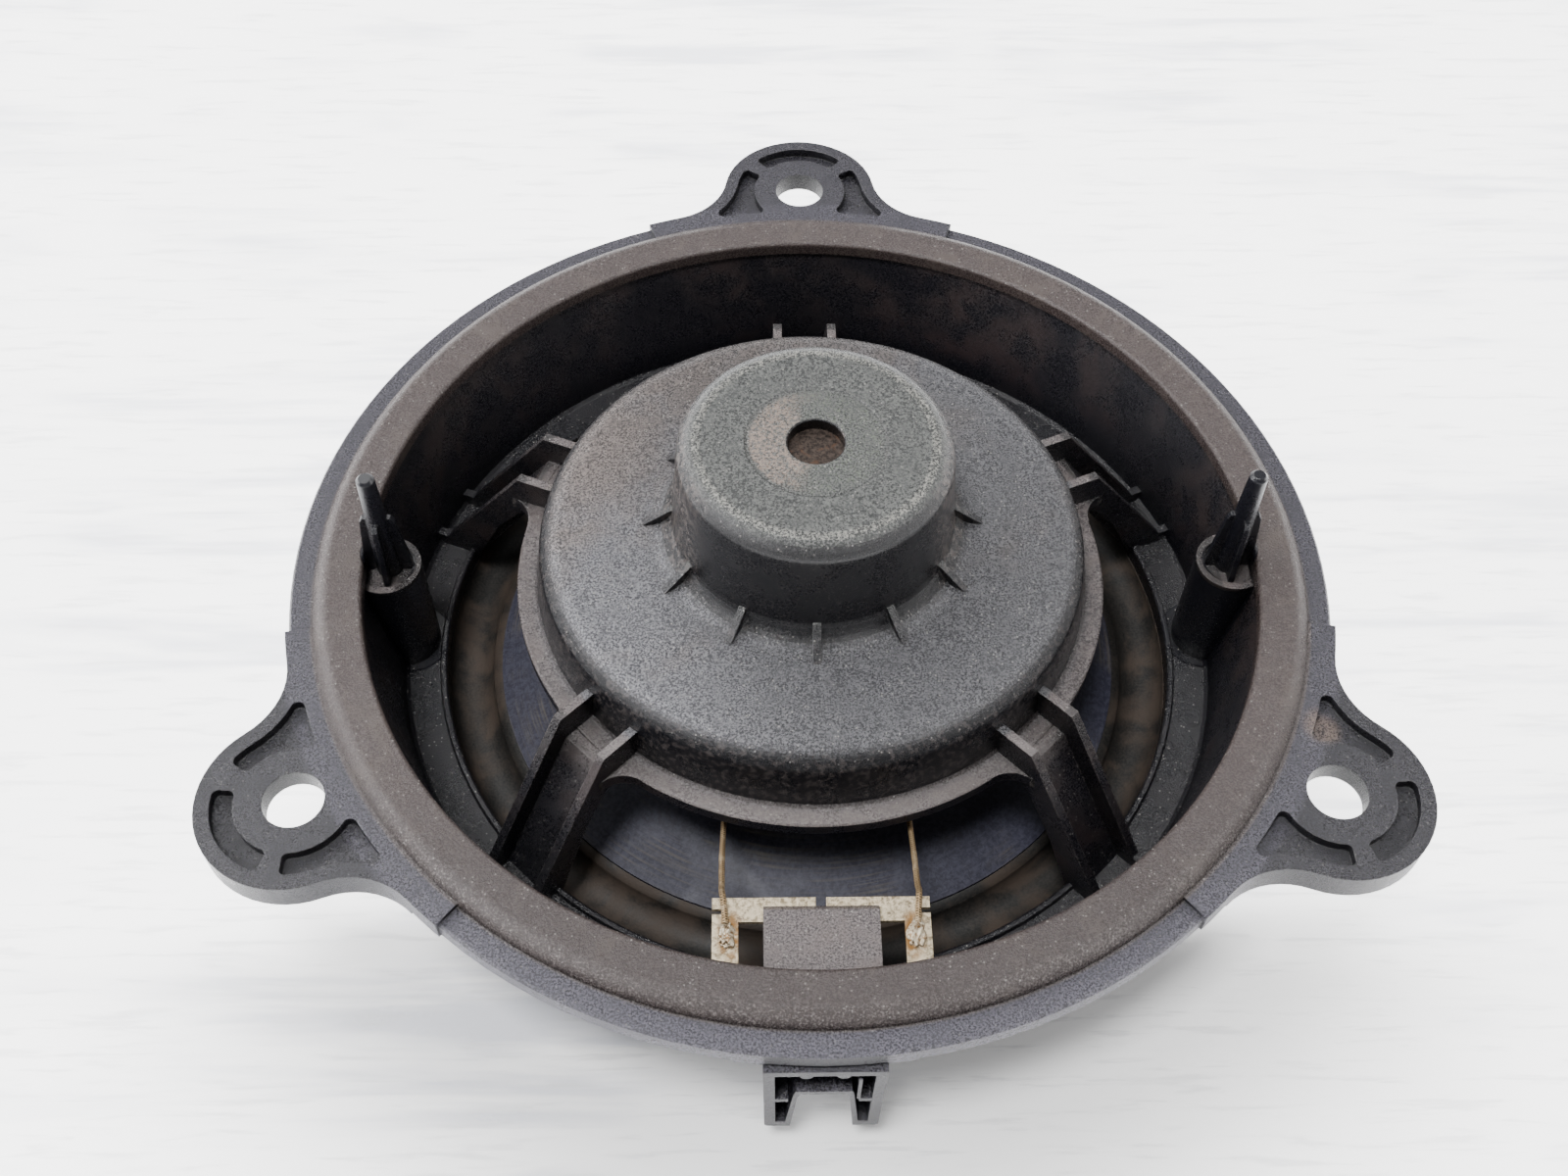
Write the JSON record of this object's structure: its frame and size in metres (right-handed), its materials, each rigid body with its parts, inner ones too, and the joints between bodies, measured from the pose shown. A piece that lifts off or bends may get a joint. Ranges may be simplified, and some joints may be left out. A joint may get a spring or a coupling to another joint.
{
  "type": "coaxial car speaker",
  "caption": "Round coaxial car door speaker with a moulded three-ear basket, rear motor boss, spoked bowl, side plug socket and a post-mounted tweeter in front of the cone.",
  "frame": {"origin": "on the speaker's axis in the plane of the round flange's rear face, at the centre of the circle through the three ear holes", "axes": "+Z along the axis towards the motor at the rear, +Y towards the single ear opposite the plug socket, the socket faces -Y and the cone faces -Z"},
  "size_m": [0.18, 0.1847, 0.0595],
  "materials": {
    "basket_plastic": "satin, fine-grained black, dusty brown on the rear faces",
    "motor_steel": "dull, lightly rusted",
    "magnet_nickel": "nickel plated",
    "terminal_tin": "tinned, stained",
    "solder": "soft grey with brown flux",
    "gasket_foam": "matte foam",
    "surround_rubber": "matte",
    "cone_paper": "matte pressed paper",
    "glue": "glossy dried adhesive",
    "former_film": "amber film",
    "coil_copper": "enamelled copper wire",
    "spider_cloth": "resin-treated weave",
    "lead_braid": "fine woven braid",
    "wire_sleeve": "smooth sleeve",
    "post_metal": "turned",
    "tweeter_plastic": "satin black",
    "dome_silk": "coated silk"
  },
  "bodies": {
    "basket_assembly": {"basket_flange": "basket_plastic", "basket_bowl": "basket_plastic", "spider_housing": "basket_plastic", "spoke_top": "basket_plastic", "spoke_upper_left": "basket_plastic", "spoke_lower_left": "basket_plastic", "spoke_lower_right": "basket_plastic", "spoke_upper_right": "basket_plastic", "peg_left": "basket_plastic", "peg_right": "basket_plastic", "terminal_block": "basket_plastic", "plug_shroud": "basket_plastic", "motor_cup": "motor_steel", "main_magnet": "magnet_nickel", "pole_plate": "motor_steel", "terminal_left": "terminal_tin", "terminal_right": "terminal_tin", "solder_left": "solder", "solder_right": "solder", "front_gasket": "gasket_foam", "surround": "surround_rubber", "spider": "spider_cloth", "lead_left": "lead_braid", "lead_right": "lead_braid", "tweeter_post": "post_metal", "tweeter_housing": "tweeter_plastic", "tweeter_yoke": "motor_steel", "tweeter_magnet": "magnet_nickel", "tweeter_pole_plate": "motor_steel", "tweeter_clamp_ring": "tweeter_plastic", "tweeter_grille": "tweeter_plastic", "capacitor": "wire_sleeve"},
    "cone_assembly": {"cone": "cone_paper", "cone_collar": "glue", "voice_coil_former": "former_film", "voice_coil_winding": "coil_copper", "cone_eyelets": "glue", "tweeter_lead_left": "wire_sleeve", "tweeter_lead_right": "wire_sleeve"},
    "tweeter_diaphragm": {"tweeter_dome": "dome_silk", "tweeter_coil": "coil_copper"}
  },
  "joints": [
    {"name": "cone_travel", "type": "slide", "parent": "basket_assembly", "child": "cone_assembly", "axis": [0, 0, 1], "range_m": [-0.0035, 0.0035], "stiffness_N_per_m": 1400, "deforming": ["surround", "spider", "lead_left", "lead_right", "tweeter_lead_left", "tweeter_lead_right"]},
    {"name": "tweeter_travel", "type": "slide", "parent": "basket_assembly", "child": "tweeter_diaphragm", "axis": [0, 0, 1], "range_m": [-0.0003, 0.0003], "stiffness_N_per_m": 1500}
  ]
}
